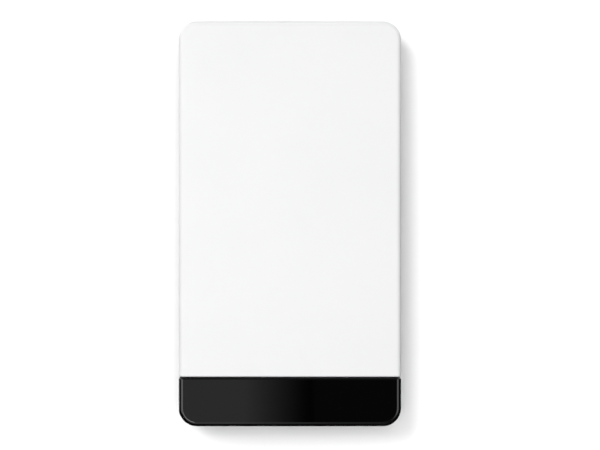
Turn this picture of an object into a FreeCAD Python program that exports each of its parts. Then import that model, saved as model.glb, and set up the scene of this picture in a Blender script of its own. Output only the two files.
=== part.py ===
import FreeCAD, Part
import math
import os
from FreeCAD import Vector

# A wall-mounted video doorbell, in millimetres.
# +X is right and +Z up. The wall is the plane Y = 0 and the doorbell stands out of it towards -Y.
# Depths are distances out from the wall, so a depth of 27 is the plane Y = -27.
# The origin is the centre of the wall face.

# Overall sizes
width = 70.0
height = 127.4
cover_depth = 11.0
corner_radius = 5.7
bar_height = 15.4
wall = 1.8
front_edge_radius = 1.3
seam_edge_radius = 0.45
rim_edge_radius = 0.4
back_edge_radius = 0.5

# Clearances
wall_gap = 0.6
seam = 0.35
rear_seam = 0.3
shell_gap = 0.4
slide_gap = 0.3
pin_gap = 0.05
screw_gap = 0.05
shank_gap = 0.15
head_gap = 0.2
dome_gap = 0.05
led_gap = 0.1
overlap = 0.1
hair = 0.01

# Wall plate
plate_thickness = 2.0
plate_side_inset = 3.2
plate_top_inset = 2.8
plate_corner = 2.5
plate_edge = 0.4
pocket_pitch = 9.6
pocket_rib = 1.2
pocket_depth = 1.0
plate_gap = 0.4
lift_travel = 8.0
hook_width = 3.0
hook_stem = 2.5
hook_lip = 3.0
hook_lip_thickness = 1.8
hook_gap = 0.1
hook_side_gap = 0.3
hook_from_edge = 8.0
hook_from_top = 29.7
hook_from_bottom = 37.7
pocket_wall = 1.0
wall_hole_radius = 2.25
wall_hole_from_top = 8.4
wall_hole_from_bottom = 6.0
wall_hole_flare = 1.9
wall_hole_flare_depth = 1.0
wall_hole_solid = 5.5
window_solid = 1.5
window_corner = 2.0
hook_solid = 1.0
pocket_corner = 0.8
wire_window_half = 11.0
wire_window_height = 18.5
tab_width = 7.0
tab_thickness = 2.0
tab_reach = 9.0
tab_from_edge = 7.0
tab_hole_radius = 1.9
tab_above_lift = 2.4

# Rear housing
ledge_width = 2.4
ledge_thickness = 1.8
gasket_thickness = 0.8
gasket_width = 1.4
boss_radius = 3.2
frame_boss_radius = 2.6
frame_screw_radius = 1.25
frame_screw_head = 2.5
frame_screw_head_depth = 2.2
frame_screw_from_edge = 6.5
frame_screw_from_top = 9.7
frame_screw_from_bottom = 19.7
vent_radius = 1.5
vent_x = -19.0
vent_from_top = 11.7
vent_patch_margin = 1.0
vent_patch_thickness = 0.3
gasket_from_shell = 0.6
frame_screw_sunk = 0.3
frame_screw_socket = 1.0
frame_screw_socket_depth = 1.2
ledge_overlap = 0.2

# Battery pack and its bay
pack_width = 44.0
pack_thickness = 8.4
pack_below_window = 4.5
pack_wall = 0.9
pack_corner = 1.2
bay_wall = 1.2
bay_front_wall = 1.3
bay_end_gap = 1.0
end_cap_height = 3.0
end_cap_recess = 0.4
contact_pitch = 5.0
contact_count = 3
contact_from_pack_top = 6.0
contact_window_radius = 1.2
contact_tip_radius = 0.7
contact_base_radius = 0.95
contact_base_height = 1.4
contact_leg_radius = 0.4
pack_window_half_width = 1.5
pack_window_half_height = 3.0
pack_window_gap = 0.1
protection_inset = 2.0
protection_thickness = 1.0
cell_inset = 1.4
cell_corner = 1.5
seal_depth = 0.6
seal_height = 1.0
seal_from_bottom = 1.1
seal_proud = 0.1
finger_half = 8.0
finger_depth = 0.8
finger_from_face = 2.2

# Terminals
block_width = 24.0
block_height = 13.5
block_from_window = 3.0
block_depth = 5.4
terminal_pitch = 12.0
terminal_screw_radius = 1.2
terminal_head_radius = 2.4
terminal_head_height = 1.4
clamp_thickness = 0.8
terminal_above_block = 8.0
terminal_pin_radius = 0.4
terminal_pin_pitch = 10.0
terminal_pin_below_block = 1.0
terminal_wall = 1.2
terminal_space_above = 1.0
terminal_space_beside = 2.0
block_corner = 0.8
block_foot_margin = 1.5
block_foot_below_pin = 1.2
block_foot_thickness = 3.0
terminal_pin_seat = 2.0
terminal_pin_proud = 0.8
clamp_half = 3.2
clamp_corner = 0.5
terminal_screw_reach = 4.0
terminal_slot_half = 0.35
terminal_slot_depth = 0.6

# Front frame and boards
frame_wall = 1.5
frame_plate = 1.8
frame_to_cover = 2.2
frame_screw_cap = 1.0
board_screw_cap = 1.2
boss_below_face = 0.1
sensor_window_radius = 1.0
mesh_recess = 0.5
speaker_hole_margin = 0.4
board_above_bay = 1.5
board_thickness = 1.6
board_gap = 0.7
board_from_speaker = 0.7
shield_from_board_top = 31.3
shield_skin = 0.25
standoff_radius = 2.2
board_screw_radius = 0.8
board_screw_head = 1.6
board_screw_x = 24.0
board_screw_from_top = 5.3
board_screw_from_bottom = 23.7
board_screw_head_height = 1.0
board_screw_socket = 0.6
board_screw_short = 1.6
board_hole_gap = 0.3
shield_half = 9.0
shield_length = 17.0
shield_height = 2.4
processor_half = 6.0
processor_height = 1.2
processor_from_shield = 2.5
inductor_size = 6.0
antenna_length = 15.0
antenna_thickness = 0.8
antenna_below_boss = 2.4

# Front cover posts and their rubber sockets
post_radius = 1.5
socket_radius = 2.6
top_post_x = 22.0
top_post_from_top = 7.7
low_post_x = 26.0
low_post_from_bottom = 33.7
post_past_frame = 1.0
socket_brim = 0.6
socket_brim_thickness = 0.8
cover_lip_gap = 0.4
bar_lip_gap = 0.8
lip_height = 1.3

# Speaker
speaker_radius = 14.0
speaker_below_wall = 15.9
speaker_height = 8.2
speaker_gasket = 0.4
speaker_below_window_top = 1.0
speaker_rim = 1.6
speaker_rim_height = 3.0
mesh_thickness = 0.3
magnet_radius = 7.5
magnet_height = 3.4
pole_radius = 3.6
pole_height = 1.2
speaker_bore_radius = 4.5
slot_count = 7
slot_length = 1.2
slot_pitch = 3.0
slots_below_speaker = 2.0
slot_from_edge = 0.3
slot_corner = 0.5

# Call bar, its press and what lies behind it
bar_pivot_from_front = 7.5
bar_pivot_below_seam = 2.0
trunnion_radius = 1.0
trunnion_end_gap = 0.2
press_clearance = 0.8
row_above_wall = 5.9
camera_x = -18.0
camera_board_size = 9.2
holder_size = 8.4
barrel_radius = 3.15
barrel_proud = 1.0
lens_radius = 2.4
lens_seat = 0.8
front_lens_rim = 0.8
sensor_height = 1.0
sensor_half_width = 3.0
sensor_half_height = 2.6
camera_board_back = 0.4
camera_board_front = 0.6
camera_board_notch = 0.65
holder_notch = 0.4
holder_base = 2.6
holder_tower = 0.85
holder_hollow = 1.6
ribbon_half = 2.5
ribbon_thickness = 0.2
ribbon_run = 3.0
ribbon_plug_half = 3.2
ribbon_plug_height = 1.1
lens_curve = 4.2
hood_brim = 0.6
hood_brim_height = 0.8
hood_radius = 5.0
plunger_x = 18.0
plunger_above_wall = 4.9
plunger_radius = 2.0
plunger_flange = 2.7
flange_thickness = 0.3
rib_gap = 0.12
rib_radius = 1.6
switch_height = 1.4
bridge_thickness = 0.8
bridge_half = 0.8
plunger_proud = 1.0
light_ring_inner = 3.45
light_ring_outer = 4.7
ir_led_radius = 2.5
ir_led_places = [-7.0, 1.0]
ir_led_proud = 0.9
light_sensor_x = 8.0
light_sensor_half = 1.2
light_sensor_height = 0.9
led_half = 0.5
led_back = 0.75
led_front = 1.2
light_ring_proud = 0.9
ir_led_lead = 0.6
pad_radius = 1.5
pad_x = 28.0
pad_from_bottom = 7.0
left_pad_raised = 3.0
mic_x = -28.0
mic_boot_radius = 2.2
mic_port_radius = 0.8
mic_hole_radius = 0.5
mic_height = 1.1
mic_half = 1.8
mic_inside_half = 1.2
call_switch_half = 3.0
call_switch_below = 2.4
call_switch_above = 3.6
call_switch_body = 0.7
switch_corner = 0.4
call_dome_foot = 1.8
call_dome_top = 1.0

# Setup button
setup_x = 20.0
setup_from_board_top = 45.3
setup_radius = 2.2
setup_proud = 0.7
setup_flange = 0.7
setup_flange_thickness = 0.8
setup_flange_gap = 0.1
setup_switch_half = 2.6
setup_switch_body = 0.8
setup_dome_foot = 1.6
setup_dome_top = 0.9
setup_dome_height = 0.6

# Security screw
security_radius = 1.5
security_head = 2.6
security_head_height = 1.8
security_past_tab = 1.0
security_star_length = 2.4
security_star_width = 0.7
security_star_depth = 1.0
security_from_plate = 0.6

half_width = width / 2
half_height = height / 2
seam_z = -half_height + bar_height
back_face = plate_thickness + plate_gap
back_inner = back_face + wall
pack_back = back_inner + slide_gap
pack_front = pack_back + pack_thickness
bay_front = pack_front + slide_gap
ledge_depth = bay_front + bay_front_wall
board_depth = ledge_depth + board_above_bay
split_depth = board_depth
depth = split_depth + cover_depth
rim_depth = split_depth - rear_seam
cover_inner = depth - wall
frame_back = ledge_depth + gasket_thickness
frame_front = cover_inner - frame_to_cover
frame_plate_back = frame_front - frame_plate
board_front = board_depth + board_thickness
speaker_z = half_height - wall - speaker_below_wall
speaker_front = frame_plate_back - speaker_gasket
speaker_back = speaker_front - speaker_height
wire_window_high = speaker_z - speaker_below_window_top
wire_window_low = wire_window_high - wire_window_height
block_low = wire_window_low + block_from_window
block_high = block_low + block_height
terminal_z = block_low + terminal_above_block
terminal_pin_z = block_low - terminal_pin_below_block
pocket_front = speaker_back - slide_gap - terminal_wall
board_top = speaker_z - speaker_radius - board_from_speaker
pack_top = wire_window_low - pack_below_window
contact_z = pack_top - contact_from_pack_top
hook_up = half_height - hook_from_top
hook_down = -half_height + hook_from_bottom
frame_screw_high = half_height - frame_screw_from_top
frame_screw_low = -half_height + frame_screw_from_bottom
vent_z = half_height - vent_from_top
row_z = -half_height + wall + row_above_wall
plunger_z = -half_height + wall + plunger_above_wall
barrel_front = frame_front + barrel_proud
camera_face = board_depth + camera_board_front
plunger_front = frame_front + plunger_proud
ir_led_front = frame_front + ir_led_proud
setup_z = board_top - setup_from_board_top
slot_middle = speaker_z - slots_below_speaker
bar_pivot_depth = depth - bar_pivot_from_front
shell_inset = wall + shell_gap
bay_half = pack_width / 2 + slide_gap
bay_top = pack_top + bay_end_gap
pack_bottom = -half_height + end_cap_recess
pivot_z = seam_z - bar_pivot_below_seam
plunger_back = board_front + switch_height
security_depth = (plate_thickness + tab_reach) / 2 + security_from_plate
hook_x = half_width - hook_from_edge
tab_x = half_width - tab_from_edge
tab_top = -half_height + wall + lift_travel + tab_above_lift
frame_screw_x = half_width - frame_screw_from_edge


def slab(x0, x1, z0, z1, d0, d1, radius=0.0):
    """A block between two depths, with its four corners rounded as seen from the front."""
    block = Part.makeBox(x1 - x0, d1 - d0, z1 - z0, Vector(x0, -d1, z0))
    if radius > 0:
        corners = [e for e in block.Edges if abs(e.tangentAt(e.FirstParameter).y) > 0.99]
        block = block.makeFillet(radius, corners)
    return block


def rod(x, z, radius, d0, d1):
    """A cylinder that points out of the wall."""
    return Part.makeCylinder(radius, d1 - d0, Vector(x, -d1, z), Vector(0, 1, 0))


def tube(x, z, outer, inner, d0, d1):
    return rod(x, z, outer, d0, d1).cut(rod(x, z, inner, d0, d1))


def taper(x, z, r0, r1, d0, d1):
    """A cone whose radius goes from r0 at depth d0 to r1 at depth d1."""
    return Part.makeCone(r0, r1, d1 - d0, Vector(x, -d0, z), Vector(0, -1, 0))


def join(shapes):
    first = shapes[0]
    if len(shapes) == 1:
        return first
    return first.fuse(shapes[1:]).removeSplitter()


def cut(shape, tools):
    return shape.cut(Part.makeCompound(tools))


def group(solids):
    return Part.makeCompound(solids)


def front_edges(shape, low, high):
    """Edges of the front face that lie between two heights."""
    found = []
    for edge in shape.Edges:
        box = edge.BoundBox
        if box.YMax < -depth + 0.01 and box.ZMin >= low and box.ZMax <= high:
            found.append(edge)
    return found


def outline(inset, d0, d1, low=None, high=None):
    """The doorbell's own outline, drawn in by an inset, between two depths and two heights."""
    radius = max(corner_radius - inset, 0.5)
    whole = slab(-half_width + inset, half_width - inset,
                 -half_height + inset, half_height - inset, d0, d1, radius)
    if low is None and high is None:
        return whole
    bottom = -height if low is None else low
    top = height if high is None else high
    return whole.common(slab(-width, width, bottom, top, d0, d1))


def rim(shape, d, radius):
    """The shape with every edge that lies at one depth rounded."""
    edges = [e for e in shape.Edges if abs(e.BoundBox.YMin + d) < 0.01 and abs(e.BoundBox.YMax + d) < 0.01]
    return shape.makeFillet(radius, edges)


def hook_places():
    return [(x, z) for x in (-hook_x, hook_x) for z in (hook_up, hook_down)]


def frame_screw_places():
    heights = (frame_screw_high, (frame_screw_high + frame_screw_low) / 2, frame_screw_low)
    return [(x, z) for x in (-frame_screw_x, frame_screw_x) for z in heights]


def board_screw_places():
    heights = (board_top - board_screw_from_top, -half_height + board_screw_from_bottom)
    return [(x, z) for x in (-board_screw_x, board_screw_x) for z in heights]


def cover_post_places():
    places = [(top_post_x, half_height - top_post_from_top),
              (low_post_x, -half_height + low_post_from_bottom)]
    return [(side * x, z) for x, z in places for side in (-1, 1)]


def contact_places():
    middle = (contact_count - 1) / 2
    return [((i - middle) * contact_pitch, contact_z) for i in range(contact_count)]


def plate_keep_outs():
    """Rectangles of the wall plate's back that stay solid, as (x0, x1, z0, z1)."""
    kept = [(-wire_window_half - window_solid, wire_window_half + window_solid,
             wire_window_low - window_solid, wire_window_high + window_solid)]
    for x, z in hook_places():
        half = hook_width / 2 + hook_solid
        kept.append((x - half, x + half, z - hook_stem / 2 - hook_solid, z + hook_stem / 2 + hook_solid))
    solid = wall_hole_solid
    kept += [(-solid, solid, z - solid, z + solid) for z in wall_hole_heights()]
    kept.append((tab_x - tab_width / 2, tab_x + tab_width / 2, tab_top - tab_thickness, tab_top + 0.5))
    return kept


def wall_hole_heights():
    high = half_height - plate_top_inset - wall_hole_from_top
    return (high, tab_top - tab_thickness + wall_hole_from_bottom)


def plate_pockets():
    """Shallow moulded pockets between ribs, on the side that lies against the wall."""
    kept = plate_keep_outs()
    low = tab_top - tab_thickness + 2 * pocket_rib
    high = half_height - plate_top_inset - 2 * pocket_rib
    reach = half_width - plate_side_inset - 2 * pocket_rib
    columns = int(reach // pocket_pitch)
    rows = int((high - low) // pocket_pitch)
    size = pocket_pitch - pocket_rib
    pockets = []
    for column in range(-columns, columns):
        for row in range(rows):
            x = column * pocket_pitch + pocket_rib / 2
            z = (high + low - rows * pocket_pitch + pocket_rib) / 2 + row * pocket_pitch
            if any(x < x1 and x + size > x0 and z < z1 and z + size > z0 for x0, x1, z0, z1 in kept):
                continue
            pockets.append(slab(x, x + size, z, z + size, -1, pocket_depth, pocket_corner))
    return pockets


def make_wall_plate():
    plate = slab(-half_width + plate_side_inset, half_width - plate_side_inset,
                 tab_top - tab_thickness, half_height - plate_top_inset, 0, plate_thickness,
                 plate_corner)
    plate = rim(rim(plate, 0, plate_edge), plate_thickness, plate_edge)
    parts = [plate]
    lip_back = back_inner + slide_gap
    for x, z in hook_places():
        x0 = x - hook_width / 2
        x1 = x + hook_width / 2
        parts.append(slab(x0, x1, z - hook_stem / 2, z + hook_stem / 2,
                          plate_thickness / 2, lip_back + hook_lip_thickness))
        parts.append(slab(x0, x1, z - hook_stem / 2, z + hook_stem / 2 + hook_lip,
                          lip_back, lip_back + hook_lip_thickness))
    parts.append(slab(tab_x - tab_width / 2, tab_x + tab_width / 2, tab_top - tab_thickness, tab_top,
                      plate_thickness / 2, tab_reach))
    plate = join(parts)
    holes = [slab(-wire_window_half, wire_window_half, wire_window_low, wire_window_high,
                  -1, plate_thickness + 1, window_corner)]
    for z in wall_hole_heights():
        holes.append(rod(0, z, wall_hole_radius, -1, plate_thickness + 1))
        holes.append(taper(0, z, wall_hole_radius, wall_hole_radius + wall_hole_flare,
                           plate_thickness - wall_hole_flare_depth, plate_thickness + hair))
    holes.append(Part.makeCylinder(tab_hole_radius, 3 * tab_thickness,
                                   Vector(tab_x, -security_depth, tab_top - 2 * tab_thickness)))
    return cut(plate, holes + plate_pockets())


def hook_pocket(x, z, grow, d0, d1):
    """The space that one hook needs as the housing is lifted off it."""
    low = z - hook_stem / 2 - lift_travel - slide_gap
    high = z + hook_stem / 2 + hook_lip + slide_gap
    half = hook_width / 2 + hook_side_gap
    return slab(x - half - grow, x + half + grow, low - grow, high + grow, d0, d1)


def make_rear_housing():
    shell = rim(outline(0, wall_gap, rim_depth), rim_depth, rim_edge_radius)
    shell = rim(shell, wall_gap, back_edge_radius)
    shell = shell.cut(outline(wall, -1, back_face))
    shell = shell.cut(outline(wall, back_inner, rim_depth + 1))
    ledge = outline(wall - ledge_overlap, ledge_depth - ledge_thickness, ledge_depth)
    ledge = ledge.cut(outline(wall + ledge_width, 0, depth))
    lip_front = back_inner + slide_gap + hook_lip_thickness
    added = [ledge]
    removed = []
    added.append(slab(-bay_half - bay_wall, bay_half + bay_wall, -half_height + wall / 2,
                      bay_top + bay_wall, back_face + wall / 2, ledge_depth))
    removed.append(slab(-bay_half, bay_half, -half_height - 1, bay_top, back_inner, bay_front))
    pocket_low = wire_window_low - overlap
    pocket_high = wire_window_high + terminal_space_above
    pocket_half = block_width / 2 + terminal_space_beside
    added.append(slab(-pocket_half - terminal_wall, pocket_half + terminal_wall,
                      pocket_low - terminal_wall, pocket_high + terminal_wall,
                      back_face + wall / 2, pocket_front + terminal_wall))
    removed.append(slab(-pocket_half, pocket_half, pocket_low, pocket_high, -1, pocket_front))
    for side in (-1, 1):
        removed.append(rod(side * terminal_pin_pitch / 2, terminal_pin_z,
                           terminal_pin_radius + screw_gap, pocket_front - 1, depth))
    for x, z in hook_places():
        added.append(hook_pocket(x, z, pocket_wall, back_face + wall / 2,
                                 lip_front + slide_gap + pocket_wall))
        removed.append(hook_pocket(x, z, 0, back_inner - hair, lip_front + slide_gap))
        half = hook_width / 2 + hook_side_gap
        removed.append(slab(x - half, x + half, z - hook_stem / 2 - lift_travel - slide_gap,
                            z + hook_stem / 2 + hook_gap, -1, back_inner + overlap))
    for x, z in frame_screw_places():
        added.append(rod(x, z, boss_radius, back_face + wall / 2, ledge_depth))
        removed.append(rod(x, z, frame_screw_head + head_gap, -1, back_face + frame_screw_head_depth))
        removed.append(rod(x, z, frame_screw_radius + shank_gap, -1, depth))
    tab_half = tab_width / 2 + slide_gap
    floor = -half_height + wall
    well_front = tab_reach + slide_gap
    well = slab(tab_x - tab_half - pocket_wall, half_width, -half_height,
                tab_top + slide_gap + pocket_wall, back_face + wall / 2, well_front + pocket_wall)
    added.append(well.common(outline(wall / 2, 0, depth)))
    removed.append(slab(tab_x - tab_half, tab_x + tab_half, floor, tab_top + slide_gap, -1, well_front))
    removed.append(Part.makeCylinder(security_radius + screw_gap, height / 4,
                                     Vector(tab_x, -security_depth, -half_height - 1)))
    removed.append(Part.makeCylinder(security_head + shank_gap, security_head_height + head_gap,
                                     Vector(tab_x, -security_depth, -half_height - head_gap)))
    removed.append(rod(vent_x, vent_z, vent_radius, -1, back_inner + 1))
    for x, z in contact_places():
        removed.append(rod(x, z, contact_window_radius, bay_front - 1, depth))
    housing = join([shell] + added)
    return cut(housing, removed)


def make_housing_gasket():
    inset = wall + gasket_from_shell
    return outline(inset, ledge_depth, frame_back).cut(outline(inset + gasket_width, 0, depth))


def light_row_holes():
    """Everything that looks or pushes through the frame's plate behind the call bar."""
    holes = [rod(camera_x, row_z, hood_radius, 0, depth)]
    for x in ir_led_places:
        holes.append(rod(x, row_z, ir_led_radius + led_gap, 0, depth))
    holes.append(rod(light_sensor_x, row_z, sensor_window_radius, 0, depth))
    holes.append(rod(plunger_x, plunger_z, light_ring_outer + screw_gap, 0, depth))
    holes.append(rod(mic_x, row_z, mic_port_radius, 0, depth))
    return holes


def make_front_frame():
    frame = outline(shell_inset, frame_back, frame_front)
    frame = frame.cut(outline(shell_inset + frame_wall, 0, frame_plate_back))
    holes = light_row_holes()
    added = []
    for x, z in frame_screw_places():
        added.append(rod(x, z, frame_boss_radius, frame_back, frame_front - boss_below_face))
        holes.append(rod(x, z, frame_screw_radius + screw_gap, 0, frame_front - frame_screw_cap))
    for x, z in board_screw_places():
        added.append(rod(x, z, standoff_radius, board_front, frame_front - boss_below_face))
        holes.append(rod(x, z, board_screw_radius + screw_gap, 0, frame_front - board_screw_cap))
    for x, z in cover_post_places():
        holes.append(rod(x, z, socket_radius, 0, depth))
    holes.append(rod(setup_x, setup_z, setup_radius + pin_gap, 0, depth))
    holes.append(rod(0, speaker_z, speaker_radius - speaker_rim - speaker_hole_margin, 0, depth))
    holes.append(rod(0, speaker_z, speaker_radius - speaker_rim, frame_front - mesh_recess, depth))
    pivot = Part.makeCylinder(trunnion_radius + pin_gap, width + 2,
                              Vector(-half_width - 1, -bar_pivot_depth, pivot_z), Vector(1, 0, 0))
    reach = half_width - shell_inset - frame_wall
    holes.append(pivot.cut(Part.makeBox(2 * reach - 2, depth, 10,
                                        Vector(-reach + 1, -depth, pivot_z - 5))))
    return join([cut(join([frame] + added), holes), make_plunger_guide()])


def make_plunger_guide():
    """The tube that the plunger slides in, held across the light ring's slot by two bridges."""
    guide_back = plunger_back + flange_thickness + slide_gap
    guide = rod(plunger_x, plunger_z, light_ring_inner - screw_gap, guide_back, frame_front)
    reach = light_ring_outer + bridge_half
    bridge = slab(plunger_x - reach, plunger_x + reach, plunger_z - bridge_half, plunger_z + bridge_half,
                  frame_plate_back, frame_plate_back + bridge_thickness)
    return cut(join([guide, bridge]), [rod(plunger_x, plunger_z, plunger_radius + pin_gap, 0, depth)])


def make_cover():
    low = seam_z + seam / 2
    shell = outline(0, split_depth, depth, low=low)
    shell = shell.makeFillet(front_edge_radius, front_edges(shell, low + hair, height))
    bottom = [e for e in shell.Edges if abs(e.BoundBox.ZMin - low) < 0.01
              and abs(e.BoundBox.ZMax - low) < 0.01 and e.BoundBox.YMax < -depth + 0.01]
    shell = rim(shell.makeFillet(seam_edge_radius, bottom), split_depth, rim_edge_radius)
    shell = shell.cut(outline(wall, 0, cover_inner, low=low - 1))
    lip = outline(wall / 2, frame_front + cover_lip_gap, cover_inner + overlap, low=low,
                  high=low + lip_height)
    posts = [rod(x, z, post_radius, frame_plate_back - post_past_frame, cover_inner + overlap)
             for x, z in cover_post_places()]
    slots = []
    for i in range(slot_count):
        z = slot_middle + (i - (slot_count - 1) / 2) * slot_pitch
        slots.append(slab(-width, width, z - slot_length / 2, z + slot_length / 2,
                          frame_front + slot_from_edge, cover_inner - slot_from_edge, slot_corner))
    reach = slab(-half_width + wall + 1, half_width - wall - 1, -height, height, 0, depth + 1)
    slots = [s.cut(reach) for s in slots]
    return cut(join([shell, lip] + posts), slots)


def make_call_bar():
    high = seam_z - seam / 2
    back = rim_depth + press_clearance
    shell = outline(0, back, depth, high=high)
    shell = shell.makeFillet(front_edge_radius, front_edges(shell, -height, high - hair))
    top = [e for e in shell.Edges if abs(e.BoundBox.ZMin - high) < 0.01
           and abs(e.BoundBox.ZMax - high) < 0.01 and e.BoundBox.YMax < -depth + 0.01]
    shell = rim(shell.makeFillet(seam_edge_radius, top), back, rim_edge_radius)
    shell = shell.cut(outline(wall, 0, cover_inner, high=high + 1))
    lip = outline(wall / 2, frame_front + bar_lip_gap, cover_inner + overlap,
                  low=high - lip_height, high=high)
    inner = half_width - wall
    pins = []
    for side in (-1, 1):
        x0 = inner - shell_gap - frame_wall + trunnion_end_gap
        start = Vector(side * x0, -bar_pivot_depth, pivot_z)
        pins.append(Part.makeCylinder(trunnion_radius, inner - x0 + overlap, start, Vector(side, 0, 0)))
    rib = rod(plunger_x, plunger_z, rib_radius, plunger_front + rib_gap, cover_inner + overlap)
    mic = Part.makeCylinder(mic_hole_radius, 3 * wall, Vector(mic_x, -(frame_front + 1), -half_height - 1))
    return cut(join([shell, lip, rib] + pins), [mic])


def make_call_plunger():
    stem = rod(plunger_x, plunger_z, plunger_radius, plunger_back, plunger_front)
    flange_top = plunger_back + flange_thickness
    flange = rod(plunger_x, plunger_z, plunger_flange, plunger_back, flange_top)
    return join([stem, flange])


def make_call_switch():
    return slab(plunger_x - call_switch_half, plunger_x + call_switch_half,
                plunger_z - call_switch_below, plunger_z + call_switch_above,
                board_front, board_front + call_switch_body, switch_corner)


def make_switch_dome():
    return taper(plunger_x, plunger_z, call_dome_foot, call_dome_top,
                 board_front + call_switch_body, plunger_back - dome_gap)


def make_setup_switch():
    half = setup_switch_half
    return slab(setup_x - half, setup_x + half, setup_z - half, setup_z + half, board_front,
                board_front + setup_switch_body, switch_corner)


def make_setup_dome():
    return taper(setup_x, setup_z, setup_dome_foot, setup_dome_top, board_front + setup_switch_body,
                 board_front + setup_switch_body + setup_dome_height)


def make_setup_button():
    back = board_front + setup_switch_body + setup_dome_height + dome_gap
    stem = rod(setup_x, setup_z, setup_radius, back, frame_front + setup_proud)
    flange_front = frame_plate_back - setup_flange_gap
    flange = rod(setup_x, setup_z, setup_radius + setup_flange, flange_front - setup_flange_thickness,
                 flange_front)
    return join([stem, flange])


def make_bar_pads():
    """Two rubber return pads that push the foot of the bar out again."""
    pads = []
    for side, raised in ((-1, left_pad_raised), (1, 0)):
        pads.append(rod(side * pad_x, -half_height + pad_from_bottom + raised, pad_radius,
                        frame_front, cover_inner))
    return group(pads)


def make_frame_screws():
    screws = []
    for x, z in frame_screw_places():
        head = rod(x, z, frame_screw_head, back_face + frame_screw_sunk, back_face + frame_screw_head_depth)
        shank = rod(x, z, frame_screw_radius, back_face + 1, frame_plate_back)
        socket = rod(x, z, frame_screw_socket, back_face, back_face + frame_screw_socket_depth)
        screws.append(join([head, shank]).cut(socket))
    return group(screws)


def make_security_screw():
    y = -security_depth
    bottom = -half_height + head_gap
    head = Part.makeCylinder(security_head, security_head_height - head_gap, Vector(tab_x, y, bottom))
    length = tab_top + security_past_tab - bottom
    shank = Part.makeCylinder(security_radius, length, Vector(tab_x, y, bottom))
    star = []
    for i in range(3):
        corner = Vector(tab_x - security_star_length / 2, y - security_star_width / 2, bottom - overlap)
        bar = Part.makeBox(security_star_length, security_star_width, security_star_depth, corner)
        bar.rotate(Vector(tab_x, y, 0), Vector(0, 0, 1), 60 * i)
        star.append(bar)
    return cut(join([head, shank]), star)


def make_vent_membrane():
    return rod(vent_x, vent_z, vent_radius + vent_patch_margin, back_inner,
               back_inner + vent_patch_thickness)


def make_terminal_block():
    block = slab(-block_width / 2, block_width / 2, block_low, block_high, block_depth,
                 pocket_front, block_corner)
    foot_half = terminal_pin_pitch / 2 + block_foot_margin
    block = block.fuse(slab(-foot_half, foot_half, terminal_pin_z - block_foot_below_pin, block_low + 0.5,
                            pocket_front - block_foot_thickness, pocket_front))
    holes = []
    for side in (-1, 1):
        x = side * terminal_pitch / 2
        holes.append(rod(x, terminal_z, terminal_screw_radius + screw_gap, 0, pocket_front - 1.0))
        holes.append(rod(side * terminal_pin_pitch / 2, terminal_pin_z,
                         terminal_pin_radius, pocket_front - terminal_pin_seat, depth))
    return cut(block, holes)


def make_terminal_pins():
    return group([rod(side * terminal_pin_pitch / 2, terminal_pin_z, terminal_pin_radius,
                      pocket_front - terminal_pin_seat, board_front + terminal_pin_proud)
                  for side in (-1, 1)])


def make_terminal_clamps():
    clamps = []
    for side in (-1, 1):
        x = side * terminal_pitch / 2
        plate = slab(x - clamp_half, x + clamp_half, terminal_z - clamp_half, terminal_z + clamp_half,
                     block_depth - clamp_thickness, block_depth, clamp_corner)
        clamps.append(plate.cut(rod(x, terminal_z, terminal_screw_radius + screw_gap, 0, depth)))
    return group(clamps)


def make_terminal_screws():
    screws = []
    head_back = block_depth - clamp_thickness
    for side in (-1, 1):
        x = side * terminal_pitch / 2
        head = rod(x, terminal_z, terminal_head_radius, head_back - terminal_head_height, head_back)
        shank = rod(x, terminal_z, terminal_screw_radius, head_back - 0.5,
                    block_depth + terminal_screw_reach)
        slot = slab(x - terminal_head_radius, x + terminal_head_radius, terminal_z - terminal_slot_half,
                    terminal_z + terminal_slot_half, 0,
                    head_back - terminal_head_height + terminal_slot_depth)
        screws.append(join([head, shank]).cut(slot))
    return group(screws)


def make_main_board():
    inset = shell_inset + frame_wall + board_gap
    board = outline(inset, board_depth, board_front, high=board_top)
    holes = []
    for x, z in frame_screw_places():
        holes.append(rod(x, z, frame_boss_radius + board_hole_gap, 0, depth))
    for x, z in board_screw_places():
        holes.append(rod(x, z, board_screw_radius + led_gap, 0, depth))
    half = camera_board_size / 2 + slide_gap
    holes.append(slab(camera_x - half, camera_x + half, -height, row_z + half + 0.4, 0, depth))
    for side in (-1, 1):
        holes.append(rod(side * terminal_pin_pitch / 2, terminal_pin_z,
                         terminal_pin_radius + screw_gap, 0, depth))
    for x, z in contact_places():
        holes.append(rod(x, z, contact_leg_radius + screw_gap, 0, depth))
    return cut(board, holes)


def make_board_screws():
    screws = []
    for x, z in board_screw_places():
        head_back = board_depth - board_screw_head_height
        head = rod(x, z, board_screw_head, head_back, board_depth)
        shank = rod(x, z, board_screw_radius, board_depth - 0.5, frame_front - board_screw_short)
        socket = rod(x, z, board_screw_socket, head_back - overlap, head_back + board_screw_socket)
        screws.append(join([head, shank]).cut(socket))
    return group(screws)


def make_processor_shield():
    low = board_top - shield_from_board_top
    skin = shield_skin
    top = low + shield_length
    front = board_front + shield_height
    can = slab(-shield_half, shield_half, low, top, board_front, front, 0.8)
    return can.cut(slab(-shield_half + skin, shield_half - skin, low + skin, top - skin,
                        board_front - 1, front - skin, 0.6))


def make_processor():
    low = board_top - shield_from_board_top + processor_from_shield
    return slab(-processor_half, processor_half, low, low + 2 * processor_half,
                board_front, board_front + processor_height, 0.3)


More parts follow.
